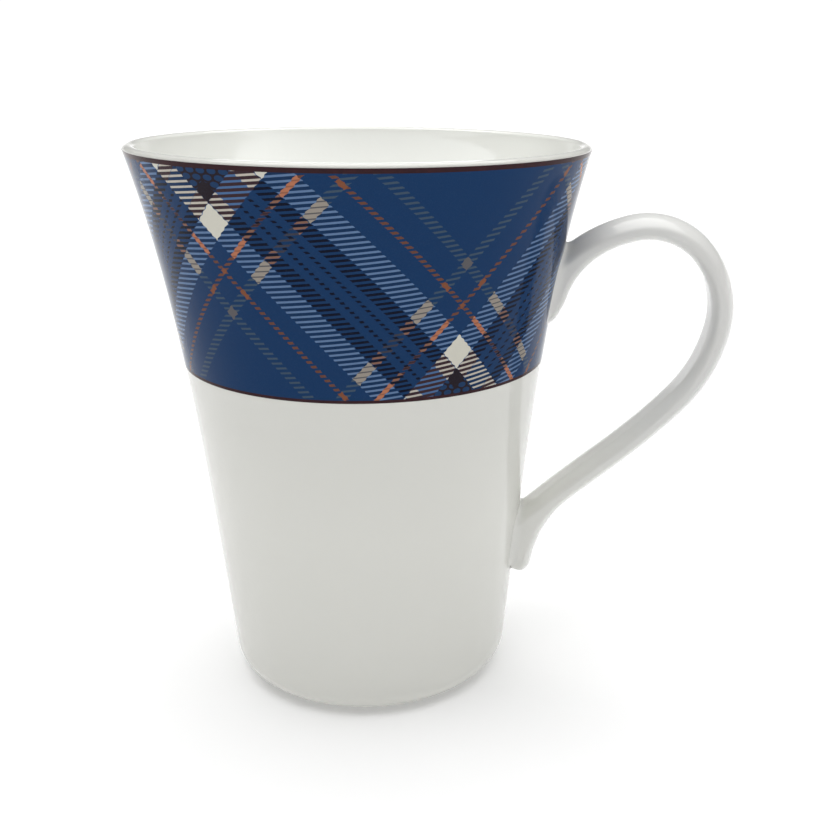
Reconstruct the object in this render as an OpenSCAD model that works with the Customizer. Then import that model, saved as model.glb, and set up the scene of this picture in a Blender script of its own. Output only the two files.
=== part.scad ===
// Tall flared porcelain mug with a strap handle and a printed plaid band.
// Frame: origin at the centre of the resting plane, +Z up, handle towards +X. Millimetres.

/* [Cup] */
// Outer radius of the wall line carried down to the table
foot_radius = 28.94; // [24:0.01:34]
// How much the wall leans outwards for each millimetre of height
wall_lean = 0.0996; // [0.02:0.0001:0.2]
// Extra flare of the wall at its top
rim_flare = 5.05; // [0:0.01:10]
// How late the flare starts: a higher power keeps the wall straight for longer
flare_power = 4.24; // [2:0.01:8]
// Height where the wall ends and the rounded lip begins
wall_height = 111; // [80:0.1:140]
// Height of the rounded lip above the wall
lip_height = 0.75; // [0.3:0.05:2]
// Wall thickness at the lip
lip_thickness = 2.3; // [1.5:0.1:4]
// Wall thickness at the foot
foot_thickness = 3.2; // [2:0.1:6]
// Radius of the rounding between the wall and the table
base_rounding = 7.1; // [2:0.1:12]
// Thickness of the floor of the cup above the table plane
floor_height = 4.6; // [3:0.1:8]
// Radius of the rounding inside, between wall and floor
inner_rounding = 8; // [3:0.5:15]

/* [Foot] */
// Width of the flat ring the mug stands on
foot_ring_width = 2.6; // [1.5:0.1:5]
// Depth of the hollow inside the foot ring
foot_recess = 1.6; // [0.5:0.1:3]

/* [Printed band] */
// Thickness of the printed band and of the painted lines
print_skin = 0.12; // [0.05:0.01:0.4]
// Height of the bottom of the lower painted line
band_bottom = 69.3; // [40:0.1:90]
// Height of the lower painted line
lower_line_height = 0.6; // [0.3:0.05:2]
// Height of the painted line under the lip
rim_line_height = 0.85; // [0.3:0.05:2]

/* [Handle] */
// Width of the strap across the handle
strap_width = 12; // [8:0.1:18]
// Thickness of the strap near its ends
strap_end_thickness = 4.86; // [3:0.01:8]
// Thickness of the strap half way along
strap_mid_thickness = 4.81; // [3:0.01:8]
// How far the outer face of the strap is crowned
strap_crown = 2; // [0:0.05:4]
// Radius of the edges beside the finger space
strap_edge = 0.9; // [0.3:0.05:2]
// Distance from the cup's axis to the start of the strap
start_reach = 34.45; // [30:0.01:45]
// Height of the start of the strap
start_height = 81.86; // [60:0.01:100]
// Direction of the strap as it leaves the cup, in degrees above level
start_angle = 40.9; // [0:0.1:80]
// Length of the hidden end of the strap
root_length = 3.97; // [1:0.01:10]
// Turn of the hidden end, in degrees towards the finger space
root_turn = -13; // [-40:0.1:40]
// Length of the rising part
rise_length = 20.36; // [5:0.01:40]
// Turn of the rising part
rise_turn = 40.1; // [-40:0.1:120]
// Length over the top of the loop
top_length = 15.79; // [5:0.01:40]
// Turn over the top of the loop
top_turn = 63.5; // [-40:0.1:120]
// Length round the shoulder
shoulder_length = 16.56; // [5:0.01:40]
// Turn round the shoulder
shoulder_turn = 50.7; // [-40:0.1:120]
// Length of the outer side
side_length = 17.68; // [5:0.01:40]
// Turn of the outer side
side_turn = 32.9; // [-40:0.1:120]
// Length of the straight leg
leg_length = 19.29; // [5:0.01:40]
// Turn of the straight leg
leg_turn = 7.8; // [-40:0.1:120]
// Length of the lower end that runs into the cup
heel_length = 29.39; // [5:0.01:40]
// Turn of the lower end
heel_turn = -4.1; // [-60:0.1:60]
// Extra thickness of the upper end, towards the finger space
upper_swell = 3.88; // [0:0.01:10]
// Length over which the upper end swells
upper_swell_length = 21.69; // [5:0.01:40]
// Extra thickness of the lower end, away from the finger space
lower_swell = 7.78; // [0:0.01:12]
// Length over which the lower end swells
lower_swell_length = 19.67; // [5:0.01:40]
// Rounding of the upper end's tip beside the cup
toe_radius = 1; // [0.2:0.1:3]
// Rounding of the lower end's tip beside the cup
heel_radius = 2.6; // [0.2:0.1:5]

/* [Slip joints] */
// Thickness of the clay slip between the cup and the handle
slip_thickness = 0.5; // [0.2:0.05:1.5]
// How far the slip squeezes out round the handle's ends
slip_margin = 0.5; // [0:0.05:2]
// Bottom of the upper slip joint
upper_slip_bottom = 77; // [60:0.1:100]
// Top of the upper slip joint
upper_slip_top = 91.4; // [70:0.1:110]
// Bottom of the lower slip joint
lower_slip_bottom = 22; // [10:0.1:40]
// Top of the lower slip joint
lower_slip_top = 38.2; // [20:0.1:60]

/* [Hidden] */
$fn = 96;
wall_steps = 30;
round_steps = 10;
strap_steps = 72;
crown_steps = 14;

// outer radius of the cup at height z
function outer_r(z) = foot_radius + wall_lean * z + rim_flare * pow(max(z, 0) / wall_height, flare_power);
// wall thickness at height z
function wall_t(z) = lip_thickness + (foot_thickness - lip_thickness) * (1 - z / wall_height);
function inner_r(z) = outer_r(z) - wall_t(z);

// the base rounding is an arc that meets the wall at the wall's own slope
slope_angle = atan(wall_lean);
arc_top = base_rounding * (1 - sin(slope_angle));
arc_r = outer_r(arc_top) - base_rounding * cos(slope_angle);
foot_inner = arc_r - foot_ring_width;

base_arc = [for (i = [0:round_steps])
    let (a = -90 + (90 - slope_angle) * i / round_steps)
    [arc_r + base_rounding * cos(a), base_rounding + base_rounding * sin(a)]];
outer_wall = [for (i = [1:wall_steps])
    let (z = arc_top + (wall_height - arc_top) * i / wall_steps) [outer_r(z), z]];
lip_r = lip_thickness / 2;
lip = [for (i = [1:round_steps - 1])
    let (a = 180 * i / round_steps)
    [outer_r(wall_height) - lip_r + lip_r * cos(a), wall_height + lip_height * sin(a)]];
inner_low = floor_height + inner_rounding;
inner_wall = [for (i = [wall_steps:-1:0])
    let (z = inner_low + (wall_height - inner_low) * i / wall_steps) [inner_r(z), z]];
floor_r = inner_r(inner_low) - inner_rounding;
inner_arc = [for (i = [1:round_steps])
    let (a = 90 * i / round_steps)
    [floor_r + inner_rounding * cos(a), inner_low - inner_rounding * sin(a)]];

// a closed ring that lies on the outside of the cup between two heights
module wall_ring(z0, z1, thick, steps) {
    rotate_extrude()
        polygon(concat(
            [for (i = [0:steps]) let (z = z0 + (z1 - z0) * i / steps) [outer_r(z), z]],
            [for (i = [steps:-1:0]) let (z = z0 + (z1 - z0) * i / steps) [outer_r(z) + thick, z]]));
}

// the footprint of a slip joint: a rounded upright block that points along +X
module root_block(z0, z1, grow) {
    w = strap_width / 2 + slip_margin + grow;
    r = 3;
    translate([25, 0, 0])
        rotate([90, 0, 90])
            linear_extrude(height = 25)
                union() {
                    translate([-w, z0 - grow + r]) square([2 * w, z1 - z0 + 2 * grow - 2 * r]);
                    translate([-w + r, z0 - grow]) square([2 * w - 2 * r, z1 - z0 + 2 * grow]);
                    for (sx = [-1, 1]) for (cz = [z0 - grow + r, z1 + grow - r])
                        translate([sx * (w - r), cz]) circle(r = r, $fn = 48);
                }
}

// heading of the strap's middle line at a distance s from its start
arc_lengths = [root_length, rise_length, top_length, shoulder_length, side_length, leg_length, heel_length];
arc_turns = [root_turn, rise_turn, top_turn, shoulder_turn, side_turn, leg_turn, heel_turn];
function run(k) = k <= 0 ? 0 : arc_lengths[k - 1] + run(k - 1);
strap_length = run(len(arc_lengths));
function curl(k) = -arc_turns[k] * PI / 180 / arc_lengths[k];
function arc_heading(k) = k <= 0 ? start_angle : arc_heading(k - 1) - arc_turns[k - 1];
function along(k, u) =
    let (h0 = arc_heading(k), h1 = h0 - arc_turns[k] * u / arc_lengths[k])
    [(sin(h1) - sin(h0)) / curl(k), (cos(h0) - cos(h1)) / curl(k)];
function arc_start(k) = k <= 0 ? [start_reach, start_height] : arc_start(k - 1) + along(k - 1, arc_lengths[k - 1]);
function arc_of(s, k = 0) = k >= len(arc_lengths) - 1 || s <= run(k + 1) ? k : arc_of(s, k + 1);
function heading(s) = let (k = arc_of(s)) arc_heading(k) - arc_turns[k] * (s - run(k)) / arc_lengths[k];
function middle(s) = let (k = arc_of(s)) arc_start(k) + along(k, s - run(k));

// where the sections stand along the strap: closer together round the two tips
stations = concat(
    [for (i = [0:4]) toe_radius * (1 - cos(18 * i))],
    [for (i = [0:strap_steps]) toe_radius + (strap_length - toe_radius - heel_radius) * i / strap_steps],
    [for (i = [1:6]) strap_length - heel_radius + heel_radius * sin(15 * i)]);
function tip(d, r) = d >= r ? 0 : r - sqrt(max(0, r * r - pow(r - d, 2)));

// thickness towards the finger space and away from it
function strap_t(s) = strap_end_thickness
    + (strap_mid_thickness - strap_end_thickness) * pow(sin(180 * s / strap_length), 2);
function inner_side(s) = strap_t(s) / 2 - tip(s, toe_radius)
    + upper_swell * pow(max(0, 1 - s / upper_swell_length), 2.2);
function outer_side(s) = strap_t(s) / 2 - tip(strap_length - s, heel_radius)
    + lower_swell * pow(max(0, 1 - (strap_length - s) / lower_swell_length), 2.2);

// the strap's section: [across, distance from the finger face]; a flat finger face,
// rounded edges, upright sides and a crowned outer face
half_w = strap_width / 2;
function strap_section(t) = concat(
    [for (i = [0:4]) [-half_w + strap_edge + (strap_width - 2 * strap_edge) * i / 4, 0]],
    [for (a = [-67.5:22.5:0]) [half_w - strap_edge + strap_edge * cos(a), strap_edge + strap_edge * sin(a)]],
    [for (i = [0:crown_steps]) let (y = half_w - strap_width * i / crown_steps)
        [y, t - strap_crown * pow(y / half_w, 2)]],
    [for (a = [0:-22.5:-67.5]) [-half_w + strap_edge - strap_edge * cos(a), strap_edge + strap_edge * sin(a)]]);
section_count = len(strap_section(5));
strap_points = [for (s = stations)
    let (h = heading(s), c = middle(s), p = inner_side(s), o = outer_side(s), sec = strap_section(p + o))
    for (q = sec) [c[0] + sin(h) * (p - q[1]), q[0], c[1] - cos(h) * (p - q[1])]];
last = len(stations) - 1;
cap_start = 9 + crown_steps / 2;
strap_faces = concat(
    [[for (j = [section_count:-1:1]) (j + cap_start) % section_count]],
    [for (i = [0:last - 1]) for (j = [0:section_count - 1])
        let (a = i * section_count + j, b = i * section_count + (j + 1) % section_count)
        [a, b, b + section_count, a + section_count]],
    [[for (j = [0:section_count - 1]) last * section_count + (j + cap_start) % section_count]]);

module body() {
    color([0.93, 0.92, 0.90])
        rotate_extrude()
            polygon(concat(
                [[0, foot_recess], [foot_inner - foot_recess, foot_recess], [foot_inner, 0]],
                base_arc, outer_wall, lip, inner_wall, inner_arc, [[0, floor_height]]));
}

module handle() {
    color([0.92, 0.91, 0.89])
        difference() {
            polyhedron(points = strap_points, faces = strap_faces, convexity = 6);
            rotate_extrude($fn = 360)
                polygon(concat(
                    [[0, 10]],
                    [for (i = [0:32]) let (z = 10 + (105 - 10) * i / 32) [outer_r(z) + slip_thickness, z]],
                    [[0, 105]]));
        }
}

module upper_slip_joint() {
    color([0.90, 0.89, 0.87])
        intersection() {
            wall_ring(upper_slip_bottom - 1, upper_slip_top + 1, slip_thickness, 6);
            root_block(upper_slip_bottom, upper_slip_top, 0);
        }
}

module lower_slip_joint() {
    color([0.90, 0.89, 0.87])
        intersection() {
            wall_ring(lower_slip_bottom - 1, lower_slip_top + 1, slip_thickness, 6);
            root_block(lower_slip_bottom, lower_slip_top, 0);
        }
}

module plaid_band() {
    color([0.11, 0.25, 0.46])
        difference() {
            wall_ring(band_bottom + lower_line_height, wall_height - rim_line_height, print_skin, 14);
            root_block(upper_slip_bottom, upper_slip_top, 0);
        }
}

module rim_line() {
    color([0.22, 0.12, 0.11])
        wall_ring(wall_height - rim_line_height, wall_height, print_skin, 2);
}

module band_line() {
    color([0.22, 0.12, 0.11])
        wall_ring(band_bottom, band_bottom + lower_line_height, print_skin, 1);
}

body();
handle();
upper_slip_joint();
lower_slip_joint();
plaid_band();
rim_line();
band_line();
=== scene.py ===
import math

import bpy
import numpy as np
from mathutils import Matrix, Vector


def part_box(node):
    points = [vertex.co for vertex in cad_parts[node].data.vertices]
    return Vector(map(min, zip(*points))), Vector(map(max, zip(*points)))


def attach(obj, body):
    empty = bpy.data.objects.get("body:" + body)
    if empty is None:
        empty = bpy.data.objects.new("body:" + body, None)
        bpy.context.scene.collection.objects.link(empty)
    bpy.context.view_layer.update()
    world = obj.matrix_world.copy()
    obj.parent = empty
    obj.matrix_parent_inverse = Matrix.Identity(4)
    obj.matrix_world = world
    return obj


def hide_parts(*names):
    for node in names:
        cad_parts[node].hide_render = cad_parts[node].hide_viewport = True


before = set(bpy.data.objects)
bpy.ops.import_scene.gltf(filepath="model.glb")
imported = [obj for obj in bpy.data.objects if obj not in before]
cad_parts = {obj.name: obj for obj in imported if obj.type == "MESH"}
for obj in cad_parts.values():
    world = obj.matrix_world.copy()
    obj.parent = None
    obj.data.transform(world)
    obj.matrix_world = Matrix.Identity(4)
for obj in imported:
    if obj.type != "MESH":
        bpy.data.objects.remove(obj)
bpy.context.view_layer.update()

# The mug: a flared porcelain cup, its strap handle, the clay slip that joins them, a printed
# plaid band and two brown lines. All working lengths are millimetres until a mesh is made.
MM = 0.001
FOOT_RADIUS = 28.94
WALL_LEAN = 0.0996
RIM_FLARE = 5.05
FLARE_POWER = 4.24
LIP_THICKNESS = 2.3
FOOT_THICKNESS = 3.2
LIP_HEIGHT = 0.75
BASE_ROUNDING = 7.1
FLOOR_HEIGHT = 4.6
INNER_ROUNDING = 8.0
FOOT_RING = 2.6
FOOT_RECESS = 1.6


def node_box(node):
    """The lowest and highest corner of a CAD node, in millimetres."""
    low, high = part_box(node)
    return np.array(low) / MM, np.array(high) / MM


WALL_HEIGHT = node_box("body")[1][2] - LIP_HEIGHT


def wall_radius(z):
    """Outer radius of the cup: a straight lean plus a late flare, a high power of the height."""
    return FOOT_RADIUS + WALL_LEAN * z + RIM_FLARE * (np.maximum(z, 0) / WALL_HEIGHT) ** FLARE_POWER


def wall_slope(z):
    """How fast the outer radius grows with height."""
    up = np.maximum(z, 0) / WALL_HEIGHT
    return WALL_LEAN + RIM_FLARE * FLARE_POWER / WALL_HEIGHT * up ** (FLARE_POWER - 1)


def inner_radius(z):
    """Outer radius less the wall, which thickens evenly from the lip to the foot."""
    return wall_radius(z) - LIP_THICKNESS - (FOOT_THICKNESS - LIP_THICKNESS) * (1 - z / WALL_HEIGHT)


# ---------------------------------------------------------------- meshes


def grid_quads(rows, columns):
    """Corner numbers of the squares of a grid whose last column joins its first."""
    r, c = np.meshgrid(np.arange(rows - 1), np.arange(columns), indexing="ij")
    here, beside = r * columns + c, r * columns + (c + 1) % columns
    return np.stack([here, beside, beside + columns, here + columns], -1).reshape(-1, 4)


def make_piece(name, points, quads, triangles, replaced, slot, material, sharp=50):
    """Puts whole arrays of points and faces into one smooth mesh, which stands for CAD nodes."""
    mesh = bpy.data.meshes.new(name)
    faces = quads.tolist() + triangles.tolist()
    mesh.from_pydata((points * MM).tolist(), [], faces)
    mesh.polygons.foreach_set("use_smooth", np.ones(len(faces), bool))
    mesh.set_sharp_from_angle(angle=math.radians(sharp))
    mesh.materials.append(material)
    mesh.update()
    piece = bpy.data.objects.new(name, mesh)
    bpy.context.scene.collection.objects.link(piece)
    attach(piece, "root")
    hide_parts(replaced)
    return piece


def tube(rings):
    """Points, squares and end fans of a closed tube through rings of points, outsides outwards.

    rings is rows x columns x 3. Each end is closed by a fan round the middle of its ring.
    """
    rows, columns, _ = rings.shape
    points = np.concatenate([rings.reshape(-1, 3), rings[:1].mean(1), rings[-1:].mean(1)])
    around = np.arange(columns)
    ahead = (around + 1) % columns
    first, last = rows * columns, rows * columns + 1
    start = np.stack([ahead, around, np.full(columns, first)], -1)
    end = np.stack([around, ahead, np.full(columns, last)], -1) + (rows - 1) * columns * np.array([1, 1, 0])
    return points, grid_quads(rows, columns), np.concatenate([start, end])


def turned(profile, columns):
    """Turns a profile of (radius, height) points round the axis of the cup, ring by ring."""
    turn = np.arange(columns) * 2 * np.pi / columns
    radius, height = profile[:, :1], profile[:, 1:]
    return np.stack([radius * np.cos(turn), radius * np.sin(turn), height + 0 * turn], -1)


def soft_corner(before, corner, after, steps):
    """A rounded corner: the curve that leaves towards the corner and arrives from it."""
    t = np.linspace(0, 1, steps)[:, None]
    return (1 - t) ** 2 * np.array(before) + 2 * t * (1 - t) * np.array(corner) + t**2 * np.array(after)


def arc(centre, radii, start, end, steps):
    """Points on an ellipse arc round a centre, between two angles in degrees."""
    a = np.radians(np.linspace(start, end, steps))[:, None]
    return np.array(centre) + np.array(radii) * np.concatenate([np.cos(a), np.sin(a)], 1)


def along_wall(radius, low, high, steps):
    """Points of a wall line, as (radius, height), from one height to another."""
    z = np.linspace(low, high, steps)
    return np.stack([radius(z), z], -1)


def cup_profile():
    """The cup's outline from the middle of its underside, round the foot, lip and inside, to its floor."""
    slope = math.atan(WALL_LEAN)
    arc_top = BASE_ROUNDING * (1 - math.sin(slope))
    arc_radius = wall_radius(arc_top) - BASE_ROUNDING * math.cos(slope)
    ring = arc_radius - FOOT_RING
    lip = LIP_THICKNESS / 2
    inner_low = FLOOR_HEIGHT + INNER_ROUNDING
    floor_radius = inner_radius(inner_low) - INNER_ROUNDING
    hollow = [ring - FOOT_RECESS, FOOT_RECESS]
    return np.concatenate([
        np.stack([np.linspace(0.4, hollow[0] - 1, 18), np.full(18, FOOT_RECESS)], -1),
        soft_corner([hollow[0] - 0.8, FOOT_RECESS], hollow, [hollow[0] + 0.6, FOOT_RECESS - 0.6], 6),
        soft_corner([ring - 0.35, 0.35], [ring, 0], [ring + 0.5, 0], 6),
        np.stack([np.linspace(ring + 0.9, arc_radius - 0.2, 5), np.zeros(5)], -1),
        arc([arc_radius, BASE_ROUNDING], [BASE_ROUNDING] * 2, -90, -math.degrees(slope), 26),
        along_wall(wall_radius, arc_top, WALL_HEIGHT, 90)[1:],
        arc([wall_radius(WALL_HEIGHT) - lip, WALL_HEIGHT], [lip, LIP_HEIGHT], 0, 180, 19)[1:-1],
        along_wall(inner_radius, WALL_HEIGHT, inner_low, 80),
        arc([floor_radius, inner_low], [INNER_ROUNDING] * 2, 0, -90, 26)[1:],
        np.stack([np.linspace(floor_radius - 1, 0.4, 16), np.full(16, FLOOR_HEIGHT)], -1),
    ])


SKIN = 0.05
BURIED = 0.05


def skin_profile(low, high, steps):
    """A thin closed sleeve on the wall: up its outside, which stands a hair proud, and down inside."""
    outside = along_wall(wall_radius, low, high, steps) + [SKIN, 0]
    inside = along_wall(wall_radius, high, low, steps) - [BURIED, 0]
    return np.concatenate([outside, inside])


def sleeve(profile, columns):
    """Points and squares of a ring-shaped sleeve: both the turn and the profile close on themselves."""
    rings = turned(profile, columns)
    quads = grid_quads(len(profile) + 1, columns) % (len(profile) * columns)
    return rings.reshape(-1, 3), quads, np.zeros((0, 3), int)


# ---------------------------------------------------------------- the strap handle

STRAP_WIDTH = 12.0
STRAP_REACH = 40.36
STRAP_START = (node_box("handle")[1][0] - STRAP_REACH, 81.86)
START_HEADING = 40.9
ARC_LENGTHS = np.array([3.97, 20.36, 15.79, 16.56, 17.68, 19.29, 29.39])
ARC_TURNS = np.array([-13, 40.1, 63.5, 50.7, 32.9, 7.8, -4.1])
STRAP_LENGTH = ARC_LENGTHS.sum()
END_THICKNESS = 4.86
MIDDLE_THICKNESS = 4.81
CROWN = 2.0
SHOULDER = 0.7
EDGE_ACROSS = 3.8
EDGE_DEEP = 1.7
UPPER_SWELL = (3.88, 21.69)
LOWER_SWELL = (7.78, 19.67)
SWELL_POWER = 2.2
TOE_RADIUS = 1.0
HEEL_RADIUS = 2.6
CAP_REACH = 7.0
FILLET = 1.7
ROOT_DEPTH = 0.25
ROOT_SPAN = 18.0
ROOT_REACH = 24.0


def strap_line(s):
    """Heading and place of the strap's middle line: seven circle arcs, each with its length and turn."""
    starts = np.concatenate([[0], np.cumsum(ARC_LENGTHS)[:-1]])
    headings = np.radians(START_HEADING - np.concatenate([[0], np.cumsum(ARC_TURNS)[:-1]]))
    curl = -np.radians(ARC_TURNS) / ARC_LENGTHS
    step_x = (np.sin(headings + curl * ARC_LENGTHS) - np.sin(headings)) / curl
    step_z = (np.cos(headings) - np.cos(headings + curl * ARC_LENGTHS)) / curl
    x0 = STRAP_START[0] + np.concatenate([[0], np.cumsum(step_x)[:-1]])
    z0 = STRAP_START[1] + np.concatenate([[0], np.cumsum(step_z)[:-1]])
    k = np.clip(np.searchsorted(starts, s, "right") - 1, 0, len(starts) - 1)
    heading = headings[k] + curl[k] * (s - starts[k])
    x = x0[k] + (np.sin(heading) - np.sin(headings[k])) / curl[k]
    z = z0[k] + (np.cos(headings[k]) - np.cos(heading)) / curl[k]
    return heading, x, z


def strap_section():
    """The section as (across, fixed part, share of the thickness), going round the strap once.

    A finger face flat in its middle, long soft edges, upright sides, soft shoulders and a crown. A
    point stands at the fixed part plus its share of the thickness from the finger face.
    """
    half = STRAP_WIDTH / 2
    inset = half - SHOULDER
    face = np.linspace(-half + EDGE_ACROSS, half - EDGE_ACROSS, 9)[:-1]
    edge = np.radians(np.linspace(-90, 0, 17))[:-1]
    side = np.linspace(0, 1, 6)[:-1]
    low, high = EDGE_DEEP, -CROWN - SHOULDER
    bend = soft_corner([half, high], [half, -CROWN], [inset, -CROWN * (inset / half) ** 2], 9)[:-1]
    top = np.linspace(inset, -inset, 34)[:-1]
    crown = -CROWN * (top / half) ** 2
    right = np.concatenate([
        np.stack([half - EDGE_ACROSS * (1 - np.cos(edge)), low + low * np.sin(edge), 0 * edge], -1),
        np.stack([half + 0 * side, low + side * (high - low), side], -1),
        np.concatenate([bend, np.ones((8, 1))], 1),
    ])
    left = right[::-1] * [-1, 1, 1]
    closing = np.array([[-inset, -CROWN * (inset / half) ** 2, 1]])
    return np.concatenate([
        np.stack([face, 0 * face, 0 * face], -1),
        right,
        np.stack([top, crown, 1 + 0 * top], -1),
        closing,
        left[:-1],
    ])


SECTION = strap_section()


def tip(d, radius):
    """How far a face is drawn in at a distance d from the strap's end: a quarter circle."""
    return radius - np.sqrt(np.maximum(radius**2 - np.maximum(radius - d, 0) ** 2, 0))


def strap_at(rail):
    """Points of the strap. rail (rows x columns) is the distance along it for each column.

    Below 0 and past the strap's length it runs in over the end's flat face to its middle.
    """
    start_cap = np.clip(1 + rail / CAP_REACH, 0, 1)
    end_cap = np.clip(1 - (rail - STRAP_LENGTH) / CAP_REACH, 0, 1)
    s = np.clip(rail, 0, STRAP_LENGTH)
    s = np.where(s < TOE_RADIUS, TOE_RADIUS * (1 - np.cos(s / TOE_RADIUS * np.pi / 2)), s)
    left = STRAP_LENGTH - s
    left = np.where(left < HEEL_RADIUS, HEEL_RADIUS * (1 - np.cos(left / HEEL_RADIUS * np.pi / 2)), left)
    s = STRAP_LENGTH - left
    heading, x, z = strap_line(s)
    thick = END_THICKNESS + (MIDDLE_THICKNESS - END_THICKNESS) * np.sin(np.pi * s / STRAP_LENGTH) ** 2
    upper = UPPER_SWELL[0] * np.maximum(1 - s / UPPER_SWELL[1], 0) ** SWELL_POWER
    lower = LOWER_SWELL[0] * np.maximum(1 - left / LOWER_SWELL[1], 0) ** SWELL_POWER
    finger = thick / 2 - tip(s, TOE_RADIUS) + upper
    outer = thick / 2 - tip(left, HEEL_RADIUS) + lower
    draw = start_cap * end_cap
    off = SECTION[:, 1] + SECTION[:, 2] * (finger + outer)
    middle = (finger + outer) / 2
    off = finger - (middle + (off - middle) * draw)
    return np.stack([x + np.sin(heading) * off, SECTION[:, 0] * draw, z - np.cos(heading) * off], -1)


def wall_gap(points):
    """Distance of points from the cup's outside, and the outward direction of the wall there."""
    radius = np.hypot(points[..., 0], points[..., 1])
    slope = wall_slope(points[..., 2])
    length = np.sqrt(1 + slope**2)
    out = np.stack([points[..., 0] / radius, points[..., 1] / radius, -slope], -1) / length[..., None]
    return (radius - wall_radius(points[..., 2])) / length, out


def facing(points):
    """Outward direction of a closed grid of points, from the steps to its neighbours."""
    along = np.gradient(points, axis=0)
    around = np.roll(points, -1, 1) - np.roll(points, 1, 1)
    normal = np.cross(around, along)
    return normal / np.maximum(np.linalg.norm(normal, axis=-1, keepdims=True), 1e-9)


def settle(points):
    """Flares the root into the wall: near the wall each point slides along it by a quarter circle."""
    gap, out = wall_gap(points)
    normal = facing(points)
    slide = normal - out * (normal * out).sum(-1, keepdims=True)
    slide = slide / np.maximum(np.linalg.norm(slide, axis=-1, keepdims=True), 1e-6)
    near = 1 - np.clip(gap / FILLET, 0, 1)
    amount = FILLET * (1 - np.sqrt(np.maximum(1 - near**2, 0)))
    return points + slide * amount[..., None]


def crossing(level, upper):
    """For each column, the distance along the strap at which it stands level away from the wall."""
    span = np.linspace(-CAP_REACH + 0.2, ROOT_SPAN, 1200)
    table = span if upper else STRAP_LENGTH - span
    gap, _ = wall_gap(strap_at(table[:, None] + np.zeros(len(SECTION))))
    inside = gap < level
    last = len(span) - 1 - np.argmax(inside[::-1], axis=0)
    last = np.minimum(last, len(span) - 2)
    column = np.arange(len(SECTION))
    share = (level - gap[last, column]) / (gap[last + 1, column] - gap[last, column])
    return table[last] + np.clip(share, 0, 1) * (table[last + 1] - table[last])


def blend_rows(first, last, steps, power=1.0):
    """Rows between two lines across the strap, closer together near the first."""
    t = np.linspace(0, 1, steps)[:, None] ** power
    return first + (last - first) * t


def handle_rings():
    """The strap from slip to slip: close rows near both roots, even rows round the loop."""
    upper, lower = crossing(FILLET, True), crossing(FILLET, False)
    high, low = np.full(len(SECTION), ROOT_REACH), np.full(len(SECTION), STRAP_LENGTH - ROOT_REACH)
    return strap_at(np.concatenate([
        blend_rows(upper, high, 90, 1.6),
        blend_rows(high, low, 150)[1:-1],
        blend_rows(lower, low, 90, 1.6)[::-1],
    ]))


def slip_rings(upper):
    """A root's slip: from inside the wall to where the handle's own surface takes over."""
    inner, outer = crossing(-ROOT_DEPTH, upper), crossing(FILLET, upper)
    rail = blend_rows(inner, outer, 40)
    if not upper:
        rail = rail[::-1]
    return settle(strap_at(rail))


# ---------------------------------------------------------------- shaders


class Wire:
    """A number that varies over a surface; sums and products of wires add Math nodes."""

    def __init__(self, shop, socket):
        self.shop = shop
        self.socket = socket

    def __add__(self, other):
        return self.shop.maths("ADD", self, other)

    def __radd__(self, other):
        return self.shop.maths("ADD", other, self)

    def __sub__(self, other):
        return self.shop.maths("SUBTRACT", self, other)

    def __rsub__(self, other):
        return self.shop.maths("SUBTRACT", other, self)

    def __mul__(self, other):
        return self.shop.maths("MULTIPLY", self, other)

    def __rmul__(self, other):
        return self.shop.maths("MULTIPLY", other, self)

    def __truediv__(self, other):
        return self.shop.maths("DIVIDE", self, other)

    def __rtruediv__(self, other):
        return self.shop.maths("DIVIDE", other, self)

    def pingpong(self, size):
        """Distance from the nearest even multiple of size: 0, up to size, and back."""
        return self.shop.maths("PINGPONG", self, size)

    def below(self, size):
        """1 where the number is under size, else 0."""
        return self.shop.maths("LESS_THAN", self, size)

    def between(self, low, high):
        """1 from low to high, else 0."""
        return self.shop.maths("COMPARE", self, (low + high) / 2, (high - low) / 2)

    def larger(self, other):
        return self.shop.maths("MAXIMUM", self, other)


class Finish:
    """One material: a Principled shader and the nodes that feed it."""

    def __init__(self, name):
        self.material = bpy.data.materials.new(name)
        self.material.use_nodes = True
        self.nodes = self.material.node_tree.nodes
        self.nodes.clear()
        place = self.node("ShaderNodeTexCoord", out="Object")
        split = self.node("ShaderNodeSeparateXYZ", {}, {0: place}, out=None)
        self.place = place
        self.x, self.y, self.z = [Wire(self, s) for s in split.outputs]

    def node(self, kind, settings=None, inputs=None, out=0):
        """Adds any node: its settings first, then the value or link of each named socket."""
        made = self.nodes.new(kind)
        for key, value in (settings or {}).items():
            setattr(made, key, value)
        for key, value in (inputs or {}).items():
            if isinstance(value, Wire):
                self.material.node_tree.links.new(value.socket, made.inputs[key])
            else:
                made.inputs[key].default_value = value
        return made if out is None else Wire(self, made.outputs[out])

    def maths(self, operation, *values):
        return self.node("ShaderNodeMath", {"operation": operation}, dict(enumerate(values)))

    def mix(self, share, first, second):
        """A colour between two colours."""
        return self.node("ShaderNodeMix", {"data_type": "RGBA"}, {0: share, 6: first, 7: second}, out=2)

    def noise(self, scale, detail=2.0, roughness=0.5, place=None):
        settings = {"Vector": place or self.place, "Scale": scale, "Detail": detail, "Roughness": roughness}
        return self.node("ShaderNodeTexNoise", {}, settings)

    def bump(self, height, distance, strength=1.0):
        return self.node("ShaderNodeBump", {}, {"Height": height, "Distance": distance, "Strength": strength})

    def shade(self, **sockets):
        """Ends the material: a Principled shader with these sockets, and the output."""
        named = {key.replace("_", " "): value for key, value in sockets.items()}
        shader = self.node("ShaderNodeBsdfPrincipled", {}, named)
        self.node("ShaderNodeOutputMaterial", {}, {0: shader}, out=None)
        return self.material


# the print's gain against the studio's lamps, and the light that its gloss adds to every ink
INK_GAIN = 1.2
GLOSS_VEIL = 0.0055


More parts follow.
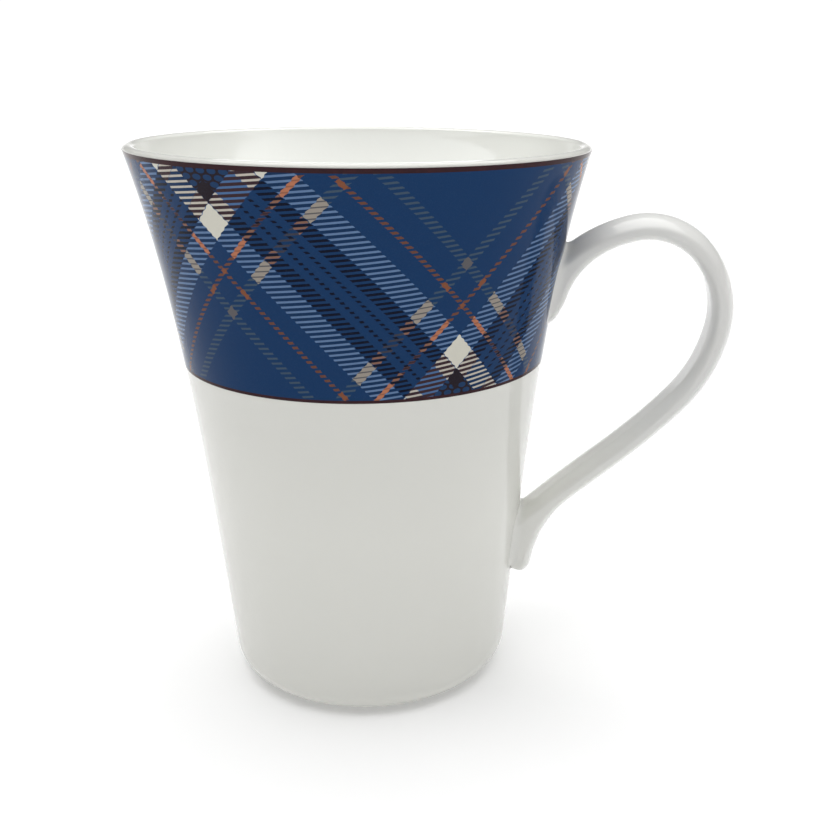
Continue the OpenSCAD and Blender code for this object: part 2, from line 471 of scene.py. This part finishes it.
def ink(red, green, blue):
    """A printed colour under its glaze, from the 0 to 255 steps of a colour card.

    The steps become light; what the gloss adds on top is taken off, and the gain evens the lamps.
    """
    steps = np.array([red, green, blue]) / 255
    light = np.where(steps <= 0.04045, steps / 12.92, ((steps + 0.055) / 1.055) ** 2.4)
    return (*np.clip((light - GLOSS_VEIL) * INK_GAIN, 0.002, 1).tolist(), 1.0)


GLAZE_IOR = 1.5
CUP_GLOSS = 0.5
HANDLE_GLOSS = 0.25
PRINT_GLOSS = 0.06
GLAZE_RIPPLE = 0.00035
PRINT_RIPPLE = 0.0002
FOOT_BARE_BELOW = 0.00022
# painted light from the floor: below this height the glaze fades to a lighter white
PAINTED_FLOOR_LIGHT_TOP = 0.062
PAINTED_FLOOR_LIGHT_FADE = 0.022
CUP_WHITE = (0.695, 0.695, 0.653, 1.0)
CUP_SHADE = (0.68, 0.68, 0.638, 1.0)
# the handle has the cup's glaze; its whites are set apart from the cup's as painted light that evens out the
# handle's shading
PAINTED_LIGHT_HANDLE_MAIN = (0.705, 0.705, 0.685, 1.0)
PAINTED_LIGHT_HANDLE_CLOUD = (0.69, 0.69, 0.67, 1.0)
# the lighter whites low down are painted light from the floor
PAINTED_FLOOR_LIGHT_CUP = (0.73, 0.73, 0.685, 1.0)
PAINTED_FLOOR_LIGHT_HANDLE = (0.755, 0.755, 0.72, 1.0)
BISQUE = (0.62, 0.58, 0.52, 1.0)
PALE_BISQUE = (0.74, 0.71, 0.66, 1.0)


def glaze_sockets(finish, ripple, gloss):
    """The gloss that all glazed pieces share: a slow ripple and a fine orange peel in the glaze."""
    slow = finish.noise(38.0, 1.0)
    fine = finish.noise(900.0, 2.0)
    height = slow * 0.8 + fine * 0.05
    patchy = finish.noise(120.0, 3.0)
    return {
        "Roughness": patchy * 0.05 + 0.05,
        "IOR": GLAZE_IOR,
        "Specular IOR Level": gloss,
        "Normal": finish.bump(height, ripple),
    }


def porcelain(name, white, shade, floor_light_white, gloss):
    """White glazed porcelain: faintly cloudy, lighter towards the bottom with painted light from the floor,
    bare under the foot.
    """
    finish = Finish(name)
    cloud = finish.noise(30.0, 4.0, 0.6)
    colour = finish.mix(cloud, white, shade)
    # painted light from the floor: the glaze turns lighter towards the bottom
    floor_light_share = ((PAINTED_FLOOR_LIGHT_TOP - finish.z) / PAINTED_FLOOR_LIGHT_FADE).larger(0.0)
    colour = finish.mix(floor_light_share, colour, floor_light_white)
    sockets = glaze_sockets(finish, GLAZE_RIPPLE, gloss)
    grain = finish.noise(2600.0, 4.0, 0.7)
    speck = finish.noise(700.0, 3.0, 0.7)
    bare = finish.z.below(FOOT_BARE_BELOW)
    clay = finish.mix(speck, BISQUE, PALE_BISQUE)
    colour = finish.mix(bare, colour, clay)
    rough = sockets["Roughness"] * (1 - bare) + bare * (grain * 0.2 + 0.65)
    sockets.update({"Base Color": colour, "Roughness": rough})
    return finish.shade(**sockets)


FIELD_BLUE = ink(28, 53, 88)
SHADE_BLUE = ink(27, 48, 78)
NAVY = ink(14, 23, 36)
PALE_BLUE = ink(90, 114, 148)
BRIGHT_BLUE = ink(72, 100, 140)
CHALK = ink(192, 190, 179)
CREAM = ink(176, 170, 160)
OAT = ink(140, 133, 124)
PEBBLE = ink(88, 86, 88)
BARK = ink(38, 32, 37)
CHESTNUT = ink(56, 42, 46)
SALMON = ink(164, 106, 80)
CLAY = ink(130, 86, 68)
COPPER = ink(98, 66, 54)
EMBER = ink(118, 74, 54)
SEDGE = ink(60, 75, 90)
OVAL_BLUE = ink(34, 56, 88)
ROSE = ink(122, 90, 76)
THIN_BROWN = ink(66, 40, 42)

BAND_DATUM = 112.1
BAND_RADIUS = 38.49
BAND_START = 196.29
STRIPE_SLOPE = 0.916
HALF_REPEAT = 41.48
FALLING_CENTRE = 30.88
RISING_CENTRE = 30.63
LINE_PITCH = 0.936
LINE_TILT = 0.114
FALLING_PHASE = 0.08
RISING_PHASE = -0.38
# each stripe's near and far side, in millimetres from the middle of its set
DOTS = (1.0, 1.82)
DASHES = (3.6, 7.0)
PALE = (7.2, 13.05)
RUST = (17.45, 18.6)
GREY = (23.8, 26.15)
CORE = 3.5
DARK = 7.1
# the ovals' spacing and half size, across and down
OVAL_STEP = (2.05, 1.13)
OVAL_HALF = (0.8, 0.5)


def plaid_ink(finish, level, height):
    """The plaid's ink. level is the distance round the cup and height the height, in millimetres.

    Two equal sets of stripes cross on the slant. Each stripe is drawn in short, nearly level lines,
    and the lines of one set lie in the gaps of the other, as the threads of a twill do.
    """
    drop = BAND_DATUM - height
    lines = (drop + level * LINE_TILT) / LINE_PITCH
    wobble = (lines.pingpong(0.5) - 0.25) * 0.5
    falling = (level - drop * STRIPE_SLOPE - FALLING_CENTRE).pingpong(HALF_REPEAT) + wobble
    rising = (level + drop * STRIPE_SLOPE - RISING_CENTRE).pingpong(HALF_REPEAT) + wobble
    sets = []
    for place, phase in ((falling, FALLING_PHASE), (rising, RISING_PHASE)):
        sets.append({
            "line": (lines + phase).pingpong(0.5),
            "core": place.below(CORE),
            "dots": place.between(*DOTS),
            "dash": place.between(*DASHES),
            "dark": place.below(DARK),
            "pale": place.between(*PALE),
            "rust": place.between(*RUST),
            "grey": place.between(*GREY),
        })
    mix = finish.mix
    colour = FIELD_BLUE
    # each stripe alone on the blue field
    for s in sets:
        colour = mix(s["pale"], colour, SHADE_BLUE)
        colour = mix(s["pale"] * s["line"].below(0.2), colour, PALE_BLUE)
        colour = mix(s["dash"] * s["line"].below(0.25), colour, NAVY)
        colour = mix(s["dots"] * s["line"].below(0.24), colour, NAVY)
        colour = mix(s["grey"] * s["line"].below(0.21), colour, SEDGE)
        colour = mix(s["rust"] * s["line"].below(0.26), colour, COPPER)
    # where a stripe of one set crosses a stripe of the other
    one, two = sets
    for a, b, gap, bright in ((one, two, SHADE_BLUE, CREAM), (two, one, CHESTNUT, BRIGHT_BLUE)):
        thin = a["line"].below(0.2)
        colour = mix(a["pale"] * b["dash"], colour, mix(thin, CHESTNUT, CREAM))
        colour = mix(a["pale"] * b["core"], colour, mix(thin, gap, bright))
        seam = b["line"].below(0.13)
        colour = mix(a["grey"] * b["pale"], colour, mix(seam, OAT, PEBBLE))
        colour = mix(a["rust"] * b["pale"], colour, mix(seam, SALMON, CLAY))
        warm = a["rust"] + a["grey"]
        colour = mix(warm * b["dash"] * thin, colour, ROSE)
        colour = mix((a["rust"] + a["grey"] * 0.6) * b["core"] * thin, colour, CHESTNUT)
        colour = mix(a["rust"] * (b["rust"] + b["grey"]), colour, EMBER)
    colour = mix(one["grey"] * two["grey"], colour, PEBBLE)
    colour = mix(one["pale"] * two["pale"], colour, CHALK)
    crossing_dark = one["dark"] * two["dark"]
    colour = mix(crossing_dark, colour, BARK)
    # staggered rows of small blue ovals where two dark stripes cross
    ovals = None
    for shift in (0.0, 0.5):
        aside = (level / OVAL_STEP[0] + shift).pingpong(0.5) * (OVAL_STEP[0] / OVAL_HALF[0])
        above = (drop / OVAL_STEP[1] + 2 * shift).pingpong(1.0) * (OVAL_STEP[1] / OVAL_HALF[1])
        oval = (aside * aside + above * above).below(1.0)
        ovals = oval if ovals is None else ovals.larger(oval)
    return mix(crossing_dark * one["core"].larger(two["core"]) * ovals, colour, OVAL_BLUE)


def plaid_print():
    """The printed band under its glaze: the plaid, and the fine grain of the printing dots."""
    finish = Finish("plaid_print")
    turn = finish.maths("ARCTAN2", 0 - finish.y, 0 - finish.x) * (180 / math.pi) + 180
    level = (turn - BAND_START) * (BAND_RADIUS * math.pi / 180)
    colour = plaid_ink(finish, level, finish.z / MM)
    grain = finish.noise(5200.0, 2.0, 0.6)
    share = (grain - 0.5) * 0.25
    colour = finish.mix(share.larger(0.0), colour, PALE_BLUE)
    sockets = glaze_sockets(finish, PRINT_RIPPLE, PRINT_GLOSS)
    return finish.shade(Base_Color=colour, **sockets)


def brown_line():
    """Brushed brown enamel: thin places show a warmer brown."""
    finish = Finish("brown_line")
    thin = finish.noise(600.0, 4.0, 0.7)
    colour = finish.mix(thin, BARK, THIN_BROWN)
    sockets = glaze_sockets(finish, PRINT_RIPPLE, PRINT_GLOSS)
    return finish.shade(Base_Color=colour, **sockets)


# ---------------------------------------------------------------- the mug

cup_glaze = porcelain("cup_glaze", CUP_WHITE, CUP_SHADE, PAINTED_FLOOR_LIGHT_CUP, CUP_GLOSS)
# a copy of the cup's glaze whose whites carry painted light
handle_glaze = porcelain(
    "handle_glaze", PAINTED_LIGHT_HANDLE_MAIN, PAINTED_LIGHT_HANDLE_CLOUD, PAINTED_FLOOR_LIGHT_HANDLE, HANDLE_GLOSS
)
plaid = plaid_print()
brown = brown_line()

make_piece("cup", *tube(turned(cup_profile(), 320)), "body", "glazed_body", cup_glaze)
make_piece("handle_strap", *tube(handle_rings()), "handle", "glazed_handle", handle_glaze)
make_piece("upper_slip", *tube(slip_rings(True)), "upper_slip_joint", "glazed_slip", handle_glaze)
make_piece("lower_slip", *tube(slip_rings(False)), "lower_slip_joint", "glazed_slip", handle_glaze)
for name, node, slot, material, steps in (
    ("printed_band", "plaid_band", "plaid_print", plaid, 60),
    ("lip_line", "rim_line", "brown_line", brown, 4),
    ("lower_line", "band_line", "brown_line", brown, 3),
):
    low, high = node_box(node)
    make_piece(name, *sleeve(skin_profile(low[2], high[2], steps), 320), node, slot, material, 30)

# ---------------------------------------------------------------- the studio

FLOOR_WHITE = (0.76, 0.76, 0.76, 1.0)
FLOOR_GLOW = 0.23
FLOOR_HALF = 60.0
BACKDROP = 1.05
SKY = 0.21
BACKDROP_TOP = (0.04, 0.14)
OVERHEAD_STRENGTH = 3.4
OVERHEAD_SPREAD = 78
OVERHEAD_TILT = -6
MOUTH_LAMP_HEIGHT = 0.12
MOUTH_LAMP_SIZE = 0.05
MOUTH_LAMP_POWER = 0.019
MOUTH_LAMP_COLOUR = (0.94, 0.96, 1.0)
CAMERA_PLACE = (0.03307, -0.22696, 0.12923)
CAMERA_HEADING = 2.519
CAMERA_TILT = -18.617
CAMERA_ROLL = -0.565
CAMERA_LENS = 49.04
CAMERA_SHIFT = (-0.0723, 0.0169)


def studio_floor():
    """A plain white floor that glows a little, matt, much wider than the mug."""
    finish = Finish("studio_floor")
    material = finish.shade(
        Base_Color=FLOOR_WHITE,
        Roughness=0.9,
        Specular_IOR_Level=0.0,
        Emission_Color=(1.0, 1.0, 1.0, 1.0),
        Emission_Strength=FLOOR_GLOW,
    )
    half = FLOOR_HALF
    corners = np.array([[-half, -half, 0], [half, -half, 0], [half, half, 0], [-half, half, 0]])
    mesh = bpy.data.meshes.new("studio_floor")
    mesh.from_pydata(corners.tolist(), [], [[0, 1, 2, 3]])
    mesh.materials.append(material)
    floor = bpy.data.objects.new("studio_floor", mesh)
    bpy.context.scene.collection.objects.link(floor)


def mouth_lamp():
    """A small square lamp over the mouth that shines straight down, for the inside of the cup."""
    data = bpy.data.lights.new("mouth_lamp", "AREA")
    data.size = MOUTH_LAMP_SIZE
    data.energy = MOUTH_LAMP_POWER
    data.color = MOUTH_LAMP_COLOUR
    light = bpy.data.objects.new("mouth_lamp", data)
    light.location = (0, 0, MOUTH_LAMP_HEIGHT)
    light.visible_camera = False
    bpy.context.scene.collection.objects.link(light)


def camera():
    """The picture camera: a place, three turns, a lens and a small shift for the framing."""
    data = bpy.data.cameras.new("camera")
    data.sensor_width = 36.0
    data.lens = CAMERA_LENS
    data.shift_x, data.shift_y = CAMERA_SHIFT
    data.clip_start, data.clip_end = 0.01, 50
    eye = bpy.data.objects.new("camera", data)
    turn = (
        Matrix.Rotation(math.radians(CAMERA_HEADING), 3, "Z")
        @ Matrix.Rotation(math.radians(CAMERA_TILT), 3, "X")
        @ Matrix.Rotation(math.radians(CAMERA_ROLL), 3, "Y")
        @ Matrix.Rotation(math.radians(90), 3, "X")
    )
    eye.matrix_world = Matrix.Translation(CAMERA_PLACE) @ turn.to_4x4()
    bpy.context.scene.collection.objects.link(eye)
    bpy.context.scene.camera = eye


def sky():
    """Even soft light from all round, with a white backdrop low on the horizon."""
    world = bpy.data.worlds.new("studio")
    world.use_nodes = True
    tree = world.node_tree
    back = tree.nodes["Background"]
    place = tree.nodes.new("ShaderNodeTexCoord")
    split = tree.nodes.new("ShaderNodeSeparateXYZ")
    fade = tree.nodes.new("ShaderNodeMapRange")
    tree.links.new(place.outputs["Generated"], split.inputs[0])
    tree.links.new(split.outputs["Z"], fade.inputs["Value"])
    fade.inputs["From Min"].default_value = BACKDROP_TOP[0]
    fade.inputs["From Max"].default_value = BACKDROP_TOP[1]
    fade.inputs["To Min"].default_value = BACKDROP
    fade.inputs["To Max"].default_value = SKY
    back.inputs["Color"].default_value = (1, 1, 1, 1)
    tree.links.new(fade.outputs["Result"], back.inputs["Strength"])
    bpy.context.scene.world = world


def overhead():
    """A very soft light from above, the same over the whole floor."""
    data = bpy.data.lights.new("overhead", "SUN")
    data.energy = OVERHEAD_STRENGTH
    data.angle = math.radians(OVERHEAD_SPREAD)
    light = bpy.data.objects.new("overhead", data)
    light.rotation_euler = (math.radians(OVERHEAD_TILT), 0, 0)
    bpy.context.scene.collection.objects.link(light)


studio_floor()
sky()
overhead()
mouth_lamp()
camera()
bpy.context.scene.view_settings.view_transform = "Standard"
